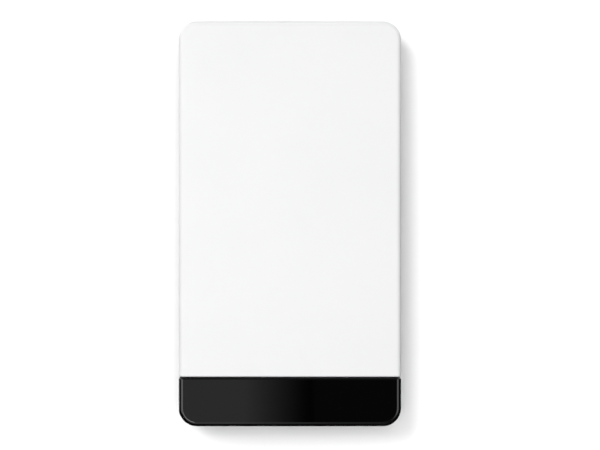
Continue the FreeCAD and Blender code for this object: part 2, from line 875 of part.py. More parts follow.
def make_board_parts():
    """Inductor, capacitors, flash memory and connectors on the front of the main board.

    Each row is the part's x, its drop below the board's top, its width, its height and how proud it is.
    """
    inductor_x = -(frame_screw_x - frame_boss_radius - shell_gap - inductor_size / 2)
    places = [(inductor_x, 17, inductor_size, inductor_size, 2.8),
              (-16, 17, 4, 4, 1.6), (-21, 27, 5, 3, 1.2),
              (-16, 41, 6, 8, 1.1), (-4, 43, 7, 7, 1.4), (6, 45, 4, 3, 1.0),
              (14, 19, 4, 6, 1.9), (20, 17, 4, 6, 1.9), (14, 33, 5, 4, 1.0),
              (-16.5, 51, 7, 3, 1.6), (4, 59, 8, 5, 1.2), (-8, 52, 5, 5, 1.0),
              (12, 65, 3, 6, 1.3), (12, 7, 7, 3, 2.2), (-12, 7, 4, 3, 1.2)]
    parts = []
    for x, drop, across, tall, proud in places:
        z = board_top - drop
        parts.append(slab(x - across / 2, x + across / 2, z - tall / 2, z + tall / 2,
                          board_front, board_front + proud, 0.25))
    return group(parts)


def make_status_leds():
    """Four small LEDs on the board that light the ring about the plunger."""
    leds = []
    middle = (light_ring_inner + light_ring_outer) / 2
    for i in range(4):
        angle = math.radians(45 + 90 * i)
        x = plunger_x + middle * math.cos(angle)
        z = plunger_z + middle * math.sin(angle)
        if z - led_half - led_gap > -half_height + shell_inset + frame_wall + board_gap:
            leds.append(slab(x - led_half, x + led_half, z - led_half, z + led_half,
                             board_front + led_back, board_front + led_front))
    return group(leds)


def make_light_guide():
    return tube(plunger_x, plunger_z, light_ring_outer, light_ring_inner,
                frame_plate_back + bridge_thickness, frame_front + light_ring_proud)


def make_light_sensor():
    half = light_sensor_half
    return slab(light_sensor_x - half, light_sensor_x + half, row_z - half, row_z + half,
                board_front, board_front + light_sensor_height, 0.2)


def make_ir_leds():
    leds = []
    for x in ir_led_places:
        body = rod(x, row_z, ir_led_radius, board_front + ir_led_lead, ir_led_front - ir_led_radius * 0.6)
        dome = Part.makeSphere(ir_led_radius, Vector(x, -(ir_led_front - ir_led_radius), row_z))
        keep = rod(x, row_z, ir_led_radius + 1, board_front + 2, depth)
        leds.append(join([body, dome.common(keep)]))
    return group(leds)


def make_camera_board():
    half = camera_board_size / 2
    return slab(camera_x - half, camera_x + half, row_z - half + camera_board_notch, row_z + half,
                board_depth - camera_board_back, camera_face, 0.4)


def make_image_sensor():
    return slab(camera_x - sensor_half_width, camera_x + sensor_half_width, row_z - sensor_half_height,
                row_z + sensor_half_height, camera_face, camera_face + sensor_height)


def make_camera_holder():
    half = holder_size / 2
    base = slab(camera_x - half, camera_x + half, row_z - half + holder_notch, row_z + half,
                camera_face, camera_face + holder_base, 0.6)
    tower = rod(camera_x, row_z, barrel_radius + holder_tower, camera_face, frame_plate_back - 0.4)
    across = sensor_half_width + head_gap
    up = sensor_half_height + head_gap
    hollow = slab(camera_x - across, camera_x + across, row_z - up, row_z + up,
                  camera_face - 1, camera_face + holder_hollow)
    bore = rod(camera_x, row_z, barrel_radius + screw_gap, camera_face, depth)
    return cut(join([base, tower]), [hollow, bore])


def make_lens_barrel():
    back = camera_face + sensor_height + 0.6
    barrel = rod(camera_x, row_z, barrel_radius, back, barrel_front)
    bore = rod(camera_x, row_z, lens_radius + screw_gap, back - 1, barrel_front - lens_seat)
    mouth = taper(camera_x, row_z, lens_radius - 0.5, lens_radius + 0.4,
                  barrel_front - lens_seat - 0.01, barrel_front + 0.01)
    return cut(barrel, [bore, mouth])


def make_lens_elements():
    back = camera_face + sensor_height + 1.0
    front = barrel_front - lens_seat - front_lens_rim - 0.1
    places = [(back, 0.8), (back + 1.4, 1.0), (front - 0.7, 0.7)]
    return group([rod(camera_x, row_z, lens_radius, d, d + t) for d, t in places])


def make_front_lens():
    base = barrel_front - lens_seat
    radius = lens_curve
    reach = lens_radius - 0.55
    sag = radius - math.sqrt(radius ** 2 - reach ** 2)
    ball = Part.makeSphere(radius, Vector(camera_x, -(base + 0.1 + sag - radius), row_z))
    dome = ball.common(rod(camera_x, row_z, reach, base - 0.7, depth))
    disc = rod(camera_x, row_z, lens_radius, base - front_lens_rim, base)
    neck = rod(camera_x, row_z, reach, base - 0.1, base + 0.1)
    return join([disc, neck, dome])


def make_camera_hood():
    body = rod(camera_x, row_z, hood_radius, frame_plate_back, frame_front)
    brim_front = frame_front + hood_brim_height
    brim = rod(camera_x, row_z, hood_radius + hood_brim, frame_front, brim_front)
    mouth = taper(camera_x, row_z, barrel_radius + 0.1, hood_radius - 0.4,
                  frame_front - 0.2, brim_front + hair)
    bore = rod(camera_x, row_z, barrel_radius + screw_gap, 0, depth)
    return cut(join([body, brim]), [bore, mouth])


def make_camera_ribbon():
    top = row_z + camera_board_size / 2
    left = camera_x - ribbon_half
    right = camera_x + ribbon_half
    run_front = board_front + 0.35
    low_run = slab(left, right, top - 0.3, top + ribbon_run, run_front - ribbon_thickness, run_front)
    riser = slab(left, right, top - 0.3, top - 0.3 + ribbon_thickness, camera_face, run_front)
    plug = slab(camera_x - ribbon_plug_half, camera_x + ribbon_plug_half, top + ribbon_run - 0.2,
                top + ribbon_run + 2.0, board_front, board_front + ribbon_plug_height)
    return join([low_run, riser, plug])


def make_microphone():
    return slab(mic_x - mic_half, mic_x + mic_inside_half, row_z - mic_half, row_z + mic_half,
                board_front, board_front + mic_height)


def make_microphone_boot():
    return tube(mic_x, row_z, mic_boot_radius, mic_port_radius, board_front + mic_height,
                frame_plate_back)


def make_speaker_basket():
    rim_back = speaker_front - speaker_rim_height
    body = rod(0, speaker_z, speaker_radius, rim_back, speaker_front)
    body = join([body, taper(0, speaker_z, magnet_radius + 1.5, speaker_radius - 1,
                             speaker_back + magnet_height, rim_back)])
    inside = join([
        rod(0, speaker_z, speaker_radius - speaker_rim, rim_back, speaker_front + 1),
        taper(0, speaker_z, magnet_radius + 0.3, speaker_radius - speaker_rim,
              speaker_back + magnet_height + 0.8, rim_back)])
    bore = rod(0, speaker_z, speaker_bore_radius, 0, depth)
    return cut(body, [inside, bore])


def make_speaker_magnet():
    magnet_front = speaker_back + magnet_height
    return join([rod(0, speaker_z, magnet_radius, speaker_back, magnet_front),
                 rod(0, speaker_z, pole_radius, magnet_front - 0.4, magnet_front + pole_height)])


def make_speaker_cone():
    back = speaker_back + 5.2
    front = speaker_front - 0.6
    outer = speaker_radius - speaker_rim - 0.2
    cone = taper(0, speaker_z, 3.9, outer - 1.6, back, front)
    hollow = taper(0, speaker_z, 3.5, outer - 2.0, back + 0.35, front + 0.01)
    rim = tube(0, speaker_z, outer, outer - 2.1, front - 0.4, front)
    return join([cone.cut(hollow), rim])


def make_speaker_gasket():
    return tube(0, speaker_z, speaker_radius, speaker_radius - speaker_rim, speaker_front,
                frame_plate_back)


def make_speaker_mesh():
    back = frame_front - mesh_recess
    return rod(0, speaker_z, speaker_radius - speaker_rim - pin_gap, back, back + mesh_thickness)


def make_antenna_board():
    x = -half_width + shell_inset + frame_wall + 0.2
    top = frame_screw_high - frame_boss_radius - antenna_below_boss
    return slab(x, x + antenna_thickness, top - antenna_length, top,
                board_depth + 0.6, frame_plate_back - 0.4)


def make_cover_sockets():
    sockets = []
    for x, z in cover_post_places():
        body = rod(x, z, socket_radius, frame_plate_back - socket_brim_thickness, frame_front)
        brim = rod(x, z, socket_radius + socket_brim, frame_plate_back - socket_brim_thickness,
                   frame_plate_back)
        bore = rod(x, z, post_radius + pin_gap, 0, depth)
        sockets.append(join([body, brim]).cut(bore))
    return group(sockets)


def make_battery_contacts():
    pins = []
    for x, z in contact_places():
        tip = rod(x, z, contact_tip_radius, pack_front + overlap, board_depth - 0.6)
        base = rod(x, z, contact_base_radius, board_depth - contact_base_height, board_depth)
        leg = rod(x, z, contact_leg_radius, board_depth - overlap, board_front + 0.5)
        pins.append(join([tip, base, leg]))
    return group(pins)


def pack_box(inset, top, bottom, d0, d1, radius=pack_corner):
    half = pack_width / 2
    return slab(-half + inset, half - inset, bottom, top, d0, d1, radius)


def make_pack_tray():
    split = pack_front - pack_wall
    bottom = pack_bottom + end_cap_height
    shell = pack_box(0, pack_top, bottom, pack_back, split)
    inner = slab(-pack_width / 2 + pack_wall, pack_width / 2 - pack_wall, bottom + pack_wall,
                 pack_top - pack_wall, pack_back + pack_wall, depth)
    return shell.cut(inner)


def make_pack_lid():
    split = pack_front - pack_wall
    lid = pack_box(0, pack_top, pack_bottom + end_cap_height, split, pack_front)
    across = pack_window_half_width
    up = pack_window_half_height
    windows = [slab(x - across, x + across, z - up, z + up, 0, depth) for x, z in contact_places()]
    return cut(lid, windows)


def make_pack_contacts():
    split = pack_front - pack_wall
    across = pack_window_half_width - pack_window_gap
    up = pack_window_half_height - pack_window_gap
    return group([slab(x - across, x + across, z - up, z + up, split, pack_front - pin_gap)
                  for x, z in contact_places()])


def make_protection_board():
    split = pack_front - pack_wall
    half = pack_width / 2 - protection_inset
    return slab(-half, half, contact_z - 5.0, pack_top - 1.2, split - protection_thickness, split, 0.5)


def make_battery_cell():
    split = pack_front - pack_wall
    half = pack_width / 2 - cell_inset
    return slab(-half, half, pack_bottom + end_cap_height + 1.6, contact_z - 6.0,
                pack_back + pack_wall + 0.1, split - 0.2, cell_corner)


def make_pack_end_cap():
    top = pack_bottom + end_cap_height
    cap = pack_box(0, top, pack_bottom, pack_back, pack_front)
    low = pack_bottom + seal_from_bottom
    groove = pack_box(-1, low + seal_height, low, pack_back - 1, pack_front + 1, 0)
    finger = slab(-finger_half, finger_half, pack_bottom - 1, pack_bottom + finger_depth,
                  pack_back + finger_from_face, pack_front - finger_from_face)
    return cut(cap, [groove.cut(seal_core()), finger])


def seal_core():
    """What the seal and its groove go round."""
    low = pack_bottom + seal_from_bottom
    return pack_box(seal_depth, low + 2 * seal_height, low - seal_height,
                    pack_back + seal_depth, pack_front - seal_depth, 0)


def make_pack_seal():
    low = pack_bottom + seal_from_bottom
    outer = pack_box(-seal_proud, low + seal_height, low, pack_back - seal_proud,
                     pack_front + seal_proud, 0)
    return outer.cut(seal_core())


makers = {
    "wall_plate": make_wall_plate,
    "rear_housing": make_rear_housing,
    "housing_gasket": make_housing_gasket,
    "front_frame": make_front_frame,
    "frame_screws": make_frame_screws,
    "security_screw": make_security_screw,
    "vent_membrane": make_vent_membrane,
    "terminal_block": make_terminal_block,
    "terminal_pins": make_terminal_pins,
    "terminal_clamps": make_terminal_clamps,
    "terminal_screws": make_terminal_screws,
    "main_board": make_main_board,
    "board_screws": make_board_screws,
    "processor_shield": make_processor_shield,
    "processor": make_processor,
    "board_parts": make_board_parts,
    "status_leds": make_status_leds,
    "light_guide": make_light_guide,
    "light_sensor": make_light_sensor,
    "ir_leds": make_ir_leds,
    "camera_board": make_camera_board,
    "image_sensor": make_image_sensor,
    "camera_holder": make_camera_holder,
    "lens_barrel": make_lens_barrel,
    "lens_elements": make_lens_elements,
    "front_lens": make_front_lens,
    "camera_hood": make_camera_hood,
    "camera_ribbon": make_camera_ribbon,
    "microphone": make_microphone,
    "microphone_boot": make_microphone_boot,
    "speaker_basket": make_speaker_basket,
    "speaker_magnet": make_speaker_magnet,
    "speaker_cone": make_speaker_cone,
    "speaker_gasket": make_speaker_gasket,
    "speaker_mesh": make_speaker_mesh,
    "antenna_board": make_antenna_board,
    "cover_sockets": make_cover_sockets,
    "battery_contacts": make_battery_contacts,
    "call_switch": make_call_switch,
    "call_switch_dome": make_switch_dome,
    "setup_switch": make_setup_switch,
    "setup_switch_dome": make_setup_dome,
    "bar_pads": make_bar_pads,
    "front_cover": make_cover,
    "call_bar": make_call_bar,
    "call_plunger": make_call_plunger,
    "setup_button": make_setup_button,
    "pack_tray": make_pack_tray,
    "pack_lid": make_pack_lid,
    "pack_contacts": make_pack_contacts,
    "protection_board": make_protection_board,
    "battery_cell": make_battery_cell,
    "pack_end_cap": make_pack_end_cap,
    "pack_seal": make_pack_seal,
}

os.makedirs("parts", exist_ok=True)
for name, maker in makers.items():
    shape = maker()
    shape.exportStep("parts/" + name + ".step")
    print(name, len(shape.Solids), round(shape.Volume, 1), shape.isValid())
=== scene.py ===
import math
import bpy
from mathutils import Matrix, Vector


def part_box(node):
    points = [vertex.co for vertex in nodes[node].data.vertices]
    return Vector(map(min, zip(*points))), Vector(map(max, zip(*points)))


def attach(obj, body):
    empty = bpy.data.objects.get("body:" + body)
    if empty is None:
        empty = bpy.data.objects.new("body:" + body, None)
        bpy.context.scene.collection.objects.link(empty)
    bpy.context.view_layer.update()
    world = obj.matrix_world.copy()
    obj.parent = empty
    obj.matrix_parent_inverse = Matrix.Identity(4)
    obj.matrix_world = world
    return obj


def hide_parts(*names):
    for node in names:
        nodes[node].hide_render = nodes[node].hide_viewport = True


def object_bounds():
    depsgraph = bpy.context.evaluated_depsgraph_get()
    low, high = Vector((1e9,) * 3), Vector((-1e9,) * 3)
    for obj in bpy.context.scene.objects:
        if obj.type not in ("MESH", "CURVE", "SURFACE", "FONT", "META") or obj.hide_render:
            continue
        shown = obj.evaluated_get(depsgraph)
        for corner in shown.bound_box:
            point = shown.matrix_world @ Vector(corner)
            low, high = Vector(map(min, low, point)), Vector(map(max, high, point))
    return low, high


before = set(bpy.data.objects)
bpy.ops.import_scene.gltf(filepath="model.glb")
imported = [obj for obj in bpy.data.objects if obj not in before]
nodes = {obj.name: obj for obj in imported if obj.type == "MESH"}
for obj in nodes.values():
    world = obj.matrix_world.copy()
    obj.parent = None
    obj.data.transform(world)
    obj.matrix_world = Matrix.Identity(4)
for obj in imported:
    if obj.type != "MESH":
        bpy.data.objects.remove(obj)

mm = 0.001
cadLow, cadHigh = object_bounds()
middle = (cadLow + cadHigh) / 2
right, upward, outward = Vector((1, 0, 0)), Vector((0, 0, 1)), Vector((0, -1, 0))
black, white = (0.0, 0.0, 0.0), (1.0, 1.0, 1.0)
print("frame: %d nodes, %.1f x %.1f x %.1f mm" % ((len(nodes),) + tuple((cadHigh - cadLow) / mm)))


class Socket:
    # one output of a node, so that shader maths reads as a formula

    def __init__(self, graph, socket):
        self.graph = graph
        self.socket = socket

    def __getitem__(self, key):
        return Socket(self.graph, self.socket.node.outputs[key])

    def maths(self, operation, *others):
        return self.graph.add("Math", {"operation": operation}, dict(enumerate((self,) + others)))

    def mathsAfter(self, operation, other):
        return self.graph.add("Math", {"operation": operation}, {0: other, 1: self})

    def __add__(self, other):
        return self.maths("ADD", other)

    def __radd__(self, other):
        return self.mathsAfter("ADD", other)

    def __sub__(self, other):
        return self.maths("SUBTRACT", other)

    def __rsub__(self, other):
        return self.mathsAfter("SUBTRACT", other)

    def __mul__(self, other):
        return self.maths("MULTIPLY", other)

    def __rmul__(self, other):
        return self.mathsAfter("MULTIPLY", other)

    def __pow__(self, other):
        return self.maths("POWER", other)

    def __rpow__(self, other):
        return self.mathsAfter("POWER", other)

    def __gt__(self, other):
        return self.maths("GREATER_THAN", other)

    def __lt__(self, other):
        return self.maths("LESS_THAN", other)

    def __abs__(self):
        return self.maths("ABSOLUTE")

    def sine(self):
        return self.maths("SINE")

    def ramp(self, low, high):
        # 0 at low, 1 at high and a smooth rise between them
        sockets = {"Value": self, "From Min": low, "From Max": high}
        return self.graph.add("MapRange", {"interpolation_type": "SMOOTHSTEP"}, sockets)


class Graph:
    # the nodes of one material, or of the world

    def __init__(self, owner, empty=True):
        owner.use_nodes = True
        self.tree = owner.node_tree
        if empty:
            self.tree.nodes.clear()

    def add(self, kind, settings=None, sockets=None):
        # gives the new node's first output, and [name] on that gives another
        node = self.tree.nodes.new("ShaderNode" + kind)
        for name, setting in (settings or {}).items():
            setattr(node, name, setting)
        self.feed(node, sockets or {})
        return Socket(self, node.outputs[0]) if node.outputs else None

    def feed(self, node, sockets):
        for key, value in sockets.items():
            if isinstance(value, Socket):
                self.tree.links.new(value.socket, node.inputs[key])
            else:
                node.inputs[key].default_value = value

    def place(self):
        return self.add("TexCoord")["Object"]

    def axes(self, where):
        parts = self.add("SeparateXYZ", {}, {"Vector": where})
        return parts["X"], parts["Y"], parts["Z"]

    def join(self, x, y, z):
        return self.add("CombineXYZ", {}, {"X": x, "Y": y, "Z": z})

    def noise(self, where, scale, detail=2.0, roughness=0.5):
        sockets = {"Vector": where, "Scale": scale, "Detail": detail, "Roughness": roughness}
        return self.add("TexNoise", {}, sockets)

    def mix(self, share, first, second):
        pair = [colour if isinstance(colour, Socket) else (*colour, 1.0) for colour in (first, second)]
        return self.add("Mix", {"data_type": "RGBA"}, {0: share, 6: pair[0], 7: pair[1]})[2]

    def bump(self, height, depth, strength):
        return self.add("Bump", {}, {"Height": height, "Distance": depth, "Strength": strength})


made = {}


def makeFinishes(recipe, looks):
    # recipe takes the graph and one look, and returns what goes into the Principled shader
    for name, look in looks.items():
        material = bpy.data.materials.new(name)
        graph = Graph(material, empty=False)
        shader = next(node for node in graph.tree.nodes if node.type == "BSDF_PRINCIPLED")
        graph.feed(shader, recipe(graph, look))
        made[name] = material


def shaded(colour, gain, lift=0.0):
    return tuple(channel * gain + lift for channel in colour)


# satin white of the front cover: faint clouds in the tone, and a fine grain that softens the gloss
whitePlastics = {
    "whiteShell": {"colour": (0.636, 0.637, 0.64), "shade": (0.625, 0.627, 0.63), "clouds": 35,
                   "roughness": 0.36, "grain": 2600, "grainRough": 0.06, "soft": 420, "softRough": 0.03,
                   "grainDepth": 0.012 * mm},
}


def whitePlastic(graph, look):
    where = graph.place()
    cloud = graph.noise(where, look["clouds"], 3)
    grain = graph.noise(where, look["grain"], 3, 0.6)
    soft = graph.noise(where, look["soft"])
    return {"Base Color": graph.mix(cloud.ramp(0.35, 0.75), look["colour"], look["shade"]),
            "Roughness": look["roughness"] + look["grainRough"] * grain + look["softRough"] * soft,
            "IOR": 1.5,
            "Normal": graph.bump(grain + 0.6 * soft, look["grainDepth"], 0.6)}


# piano black of the call bar: nearly a mirror, with a slow wave, a few smudges and some dust
glossPlastics = {
    "blackGloss": {"colour": (0.0006, 0.0006, 0.0007), "roughness": 0.025,
                   "smudges": 90, "smudgeRough": 0.02, "waves": 55, "waveDepth": 0.004 * mm,
                   "dust": 5200, "dustColour": (0.02, 0.02, 0.021), "dustShare": 0.35, "dustRough": 0.1},
}


def glossPlastic(graph, look):
    where = graph.place()
    smudge = graph.noise(where, look["smudges"], 4, 0.6).ramp(0.5, 0.75)
    wave = graph.noise(where, look["waves"], 1)
    dust = graph.noise(where, look["dust"], 1).ramp(0.83, 0.9)
    return {"Base Color": graph.mix(look["dustShare"] * dust, look["colour"], look["dustColour"]),
            "Roughness": look["roughness"] + look["smudgeRough"] * smudge + look["dustRough"] * dust,
            "IOR": 1.5,
            "Normal": graph.bump(wave, look["waveDepth"], 0.5)}


# spark-eroded mouldings: fine grain, faint flow clouds, a little rub on the high spots
mouldedPlastics = {
    "housingBlack": {"colour": (0.021, 0.0215, 0.0225), "roughness": 0.5, "grain": 1400,
                     "grainDepth": 0.03 * mm, "flow": 0.15},
    "plateBlack": {"colour": (0.026, 0.0265, 0.028), "roughness": 0.6, "grain": 1100,
                   "grainDepth": 0.045 * mm, "flow": 0.15},
    "frameBlack": {"colour": (0.024, 0.0245, 0.026), "roughness": 0.55, "grain": 1700,
                   "grainDepth": 0.03 * mm, "flow": 0.15},
    "packBlack": {"colour": (0.022, 0.0225, 0.024), "roughness": 0.45, "grain": 2000,
                  "grainDepth": 0.02 * mm, "flow": 0.15},
    "nylonBlack": {"colour": (0.02, 0.02, 0.021), "roughness": 0.42, "grain": 2600,
                   "grainDepth": 0.012 * mm, "flow": 0.15},
    "acetalWhite": {"colour": (0.72, 0.72, 0.7), "roughness": 0.35, "grain": 2600,
                    "grainDepth": 0.008 * mm, "flow": 0.03},
    "acetalOrange": {"colour": (0.75, 0.2, 0.02), "roughness": 0.33, "grain": 2600,
                     "grainDepth": 0.008 * mm, "flow": 0.08},
}


mouldedSkin = {"clouds": 45, "cloudRough": 0.12, "grainRough": 0.1, "rubbed": 0.5, "grainStrength": 0.7}


def mouldedPlastic(graph, look):
    skin = mouldedSkin
    where = graph.place()
    cloud = graph.noise(where, skin["clouds"], 4, 0.55)
    stipple = graph.noise(where, look["grain"], 3, 0.7)
    pale = shaded(look["colour"], 1 + look["flow"], 0.004)
    worn = shaded(look["colour"], 1.6, 0.012)
    tint = graph.mix(cloud.ramp(0.3, 0.7), look["colour"], pale)
    rough = look["roughness"] + skin["cloudRough"] * (cloud - 0.5) + skin["grainRough"] * (stipple - 0.5)
    return {"Base Color": graph.mix(skin["rubbed"] * stipple.ramp(0.6, 0.85), tint, worn),
            "Roughness": rough,
            "Normal": graph.bump(stipple, look["grainDepth"], skin["grainStrength"])}


# silicone and foam, with a dusty bloom
rubbers = {
    "siliconeBlack": {"colour": (0.012, 0.012, 0.013), "roughness": 0.72},
    "siliconeGrey": {"colour": (0.09, 0.092, 0.095), "roughness": 0.72},
    "siliconeOrange": {"colour": (0.62, 0.14, 0.015), "roughness": 0.5},
    "foamBlack": {"colour": (0.015, 0.015, 0.016), "roughness": 0.92},
}


rubberSkin = {"bloom": 180, "bloomShare": 0.6, "bloomRough": 0.15, "grain": 3200, "grainDepth": 0.02 * mm,
              "specular": 0.35}


def rubber(graph, look):
    skin = rubberSkin
    where = graph.place()
    bloom = graph.noise(where, skin["bloom"], 4, 0.6)
    fine = graph.noise(where, skin["grain"])
    dusty = shaded(look["colour"], 1.3, 0.02)
    return {"Base Color": graph.mix(skin["bloomShare"] * bloom.ramp(0.45, 0.8), look["colour"], dusty),
            "Roughness": look["roughness"] + skin["bloomRough"] * (bloom - 0.5),
            "Normal": graph.bump(fine, skin["grainDepth"], 0.5),
            "Specular IOR Level": skin["specular"]}


# plated and plain metals: turned ones have machining lines, rolled ones an even grain
metals = {
    "zincSteel": {"colour": (0.62, 0.63, 0.64), "roughness": 0.32, "turned": True},
    "stainless": {"colour": (0.56, 0.56, 0.57), "roughness": 0.26, "turned": True},
    "tinPlate": {"colour": (0.7, 0.7, 0.69), "roughness": 0.35, "turned": False},
    "nickel": {"colour": (0.66, 0.64, 0.6), "roughness": 0.25, "turned": True},
    "brass": {"colour": (0.78, 0.58, 0.26), "roughness": 0.3, "turned": True},
    "gold": {"colour": (0.9, 0.66, 0.28), "roughness": 0.22, "turned": False},
}


metalSkin = {"alongLines": 300, "acrossLines": 6000, "rolledGrain": 2500, "patches": 400, "dull": 0.72,
             "lineRough": 0.18, "patchRough": 0.12, "lineDepth": 0.008 * mm}


def metal(graph, look):
    skin = metalSkin
    where = graph.place()
    if look["turned"]:
        x, y, z = graph.axes(where)
        stretched = graph.join(x * skin["alongLines"], y * skin["acrossLines"], z * skin["alongLines"])
        lines = graph.noise(stretched, 1.0, 3, 0.6)
    else:
        lines = graph.noise(where, skin["rolledGrain"], 3, 0.6)
    patch = graph.noise(where, skin["patches"], 4, 0.6)
    dull = shaded(look["colour"], skin["dull"])
    rough = look["roughness"] + skin["lineRough"] * (lines - 0.5) + skin["patchRough"] * patch.ramp(0.5, 0.8)
    return {"Base Color": graph.mix(patch.ramp(0.4, 0.8), look["colour"], dull),
            "Metallic": 1.0,
            "Roughness": rough,
            "Normal": graph.bump(lines, skin["lineDepth"], 0.5)}


# solder mask: glossy green over copper pours and tracks, with the weave of the glass cloth under it
boardMasks = {
    "greenMask": {"colour": (0.006, 0.05, 0.02), "roughness": 0.28, "weave": 5200, "weaveRough": 0.1,
                  "pours": 260, "tracks": 230, "copperDepth": 0.03 * mm, "coat": 0.4, "coatRoughness": 0.12},
}


def boardMask(graph, look):
    where = graph.place()
    x, y, z = graph.axes(where)
    weave = abs((x * look["weave"]).sine()) * abs((z * look["weave"]).sine())
    pours = graph.add("TexVoronoi", {"distance": "MANHATTAN", "feature": "F1"},
                      {"Vector": where, "Scale": look["pours"], "Randomness": 0.85})
    tracks = graph.add("TexBrick", {"offset": 0.37},
                       {"Vector": graph.join(x, z, 0.0), "Scale": look["tracks"], "Mortar Size": 0.06,
                        "Mortar Smooth": 0.1, "Brick Width": 1.4, "Row Height": 0.33})["Fac"]
    copper = (pours.ramp(0.42, 0.5) + tracks).ramp(0.4, 0.6)
    return {"Base Color": graph.mix(copper, look["colour"], shaded(look["colour"], 1.9, 0.01)),
            "Roughness": look["roughness"] + look["weaveRough"] * weave,
            "Normal": graph.bump(copper * 0.8 + weave * 0.2, look["copperDepth"], 0.6),
            "Coat Weight": look["coat"],
            "Coat Roughness": look["coatRoughness"]}


# chip bodies, and the amber film of the camera's ribbon
resins = {
    "chipBlack": {"colour": (0.018, 0.018, 0.019), "roughness": 0.45},
    "amberFlex": {"colour": (0.42, 0.16, 0.02), "roughness": 0.3},
}


resinSkin = {"specks": 5200, "speckDepth": 0.01 * mm, "clouds": 260, "cloudRough": 0.15}


def resin(graph, look):
    where = graph.place()
    speck = graph.noise(where, resinSkin["specks"])
    cloud = graph.noise(where, resinSkin["clouds"], 3)
    pale = shaded(look["colour"], 1.5, 0.008)
    return {"Base Color": graph.mix(speck.ramp(0.55, 0.8), look["colour"], pale),
            "Roughness": look["roughness"] + resinSkin["cloudRough"] * (cloud - 0.5),
            "Normal": graph.bump(speck, resinSkin["speckDepth"], 0.5)}


# the main board's small parts, told apart by where they stand: low dark chips and connectors,
# grey cans that stand tall, and tan capacitors near the top right
smallParts = {
    "boardParts": {"dark": (0.02, 0.02, 0.021), "can": (0.11, 0.11, 0.12), "tan": (0.42, 0.27, 0.12),
                   "canTops": 1.2 * mm, "tanRightOf": 3 * mm, "tanBelowTop": 25 * mm,
                   "roughness": 0.4, "specks": 4200, "speckRough": 0.2, "speckDepth": 0.015 * mm},
}


def smallPart(graph, look):
    where = graph.place()
    x, y, z = graph.axes(where)
    low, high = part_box("board_parts")
    tall = y < low.y + look["canTops"]
    tan = (x > look["tanRightOf"]) * (z > high.z - look["tanBelowTop"])
    speck = graph.noise(where, look["specks"])
    tint = graph.mix(tan, look["dark"], look["tan"])
    return {"Base Color": graph.mix(tall * (1 - tan), tint, look["can"]),
            "Roughness": look["roughness"] + look["speckRough"] * speck,
            "Normal": graph.bump(speck, look["speckDepth"], 0.6)}


# lenses, lamps and the light ring
clears = {
    "clearGlass": {"colour": (0.93, 0.96, 1.0), "roughness": 0.01, "through": 1.0, "ior": 1.52},
    "sensorGlass": {"colour": (0.2, 0.16, 0.26), "roughness": 0.04, "through": 0.35, "ior": 1.52},
    "ledClear": {"colour": (0.95, 0.93, 0.8), "roughness": 0.06, "through": 0.9, "ior": 1.5},
    "irTint": {"colour": (0.05, 0.03, 0.08), "roughness": 0.05, "through": 0.4, "ior": 1.5},
    "ringDiffuser": {"colour": (0.86, 0.9, 0.95), "roughness": 0.35, "through": 0.45, "ior": 1.5},
}


clearHaze = {"scale": 500, "shade": 0.94, "rough": 0.03}


def clear(graph, look):
    haze = graph.noise(graph.place(), clearHaze["scale"], 3)
    hazy = shaded(look["colour"], clearHaze["shade"])
    return {"Base Color": graph.mix(haze.ramp(0.4, 0.8), look["colour"], hazy),
            "Roughness": look["roughness"] + clearHaze["rough"] * haze,
            "Transmission Weight": look["through"],
            "IOR": look["ior"]}


# strands of cloth and gauze, with soft crowns where they cross and painted shade darkening the colour
# between the crowns
cloths = {
    "meshCloth": {"colour": (0.03, 0.03, 0.032), "pitch": 0.45 * mm, "roughness": 0.85, "crownSmooth": 0.1,
                  "crownDepth": 0.05 * mm},
}


def woven(graph, look):
    x, y, z = graph.axes(graph.place())
    turn = math.pi / look["pitch"]
    crown = abs((x * turn).sine()) * abs((z * turn).sine())
    # painted shade: away from the crowns the colour drops to 0.4 of the strand colour, in the hollows of the
    # weave
    return {"Base Color": graph.mix(crown, shaded(look["colour"], 0.4), look["colour"]),
            "Roughness": look["roughness"] - look["crownSmooth"] * crown,
            "Normal": graph.bump(crown, look["crownDepth"], 0.8)}


# pressed paper of the speaker's cone, with rings round its middle
cones = {
    "coneBlack": {"dark": (0.018, 0.018, 0.02), "pale": (0.05, 0.05, 0.052), "ringPitch": 1.1 * mm,
                  "roughness": 0.78, "fibres": 900, "fibreRough": 0.1, "depth": 0.08 * mm},
}


def pressedPaper(graph, look):
    where = graph.place()
    fibre = graph.noise(where, look["fibres"], 5, 0.7)
    low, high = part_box("speaker_cone")
    centre = (low + high) / 2
    x, y, z = graph.axes(where)
    reach = ((x - centre.x) ** 2.0 + (z - centre.z) ** 2.0) ** 0.5
    rings = abs((reach * (math.pi / look["ringPitch"])).sine())
    return {"Base Color": graph.mix(fibre, look["dark"], look["pale"]),
            "Roughness": look["roughness"] + look["fibreRough"] * fibre,
            "Normal": graph.bump(fibre * 0.4 + rings * 0.6, look["depth"], 0.7)}


# laminated foil of the battery cell, with shallow creases
foils = {
    "foilPouch": {"dark": (0.62, 0.64, 0.66), "pale": (0.78, 0.79, 0.8), "roughness": 0.3, "creases": 120,
                  "creaseDepth": 0.25 * mm, "fine": 900, "fineRough": 0.15},
}


def foil(graph, look):
    where = graph.place()
    crease = graph.noise(where, look["creases"], 5, 0.55)
    fine = graph.noise(where, look["fine"])
    return {"Base Color": graph.mix(crease, look["dark"], look["pale"]),
            "Metallic": 1.0,
            "Roughness": look["roughness"] + look["fineRough"] * fine,
            "Normal": graph.bump(crease + 0.1 * fine, look["creaseDepth"], 0.6)}


# felted film over the microphone's vent
membranes = {
    "ventMembrane": {"dark": (0.72, 0.72, 0.7), "pale": (0.9, 0.9, 0.88), "roughness": 0.9, "fibres": 2200,
                     "fibreDepth": 0.04 * mm},
}


